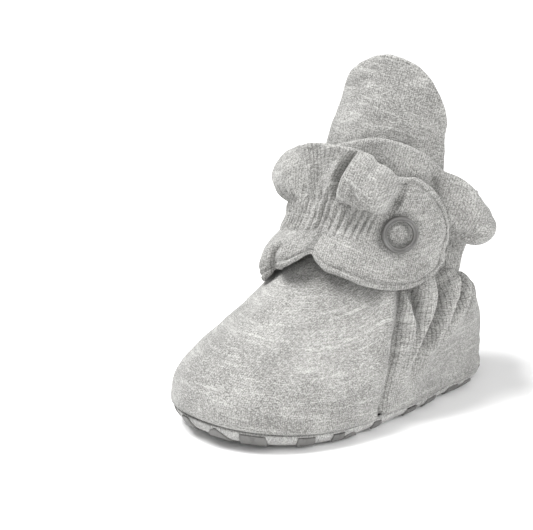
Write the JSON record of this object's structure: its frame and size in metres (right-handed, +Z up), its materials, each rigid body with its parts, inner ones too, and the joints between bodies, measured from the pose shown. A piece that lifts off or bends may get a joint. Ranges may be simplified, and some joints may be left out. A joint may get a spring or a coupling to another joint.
{
  "type": "bootie slipper",
  "caption": "Baby's soft left bootie in grey jersey, with a gathered ankle, frilled collar, tall tongue, side-snapping flap and dotted gripper sole.",
  "frame": {"origin": "middle of the sole's underside, on the bottom face of a large gripper dot, on the floor plane", "axes": "+Z up, toe towards -Y and heel towards +Y, +X towards the wearer's left, where the flap snaps shut"},
  "size_m": [0.0631, 0.1132, 0.1019],
  "materials": {
    "gripper_sole": "light heather jersey with matt mid-grey gripper dots",
    "lining": "soft jersey",
    "jersey": "brushed heather-grey cotton jersey",
    "ring_enamel": "satin grey enamel"
  },
  "bodies": {
    "root": {"sole": "gripper_sole", "insole": "lining", "upper": "jersey", "tongue": "jersey", "flap": "jersey", "snap_ring": "ring_enamel"}
  },
  "joints": []
}
